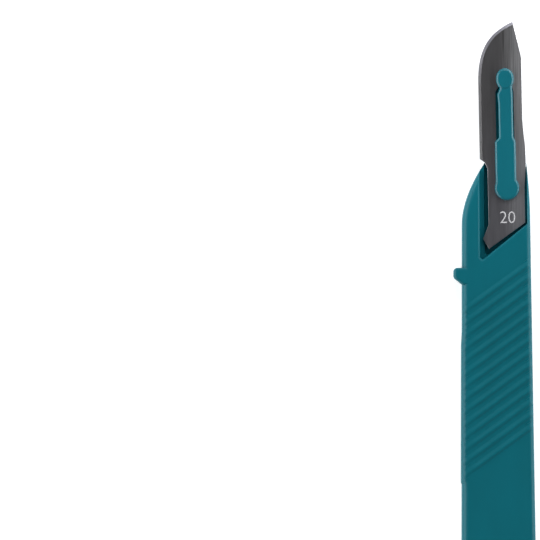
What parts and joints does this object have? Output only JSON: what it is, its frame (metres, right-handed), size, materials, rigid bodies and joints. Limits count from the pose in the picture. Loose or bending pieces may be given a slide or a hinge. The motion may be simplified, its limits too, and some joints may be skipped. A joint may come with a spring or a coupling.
{
  "type": "disposable scalpel",
  "caption": "Flat moulded scalpel handle with slanted grip ribs and a thumb tab, and a steel blade with a curved belly staked to its nose.",
  "frame": {"origin": "on the handle's centreline, on its back face, level with the front shoulder of the thumb tab", "axes": "+Y along the handle towards the blade's tip, +X towards the blade's spine, +Z out of the face that carries the blade"},
  "size_m": [0.0162, 0.15, 0.0043],
  "materials": {
    "teal_plastic": "moulded, satin",
    "satin_steel": "fine ground, satin"
  },
  "bodies": {
    "root": {"handle": "teal_plastic", "blade": "satin_steel"}
  },
  "joints": []
}
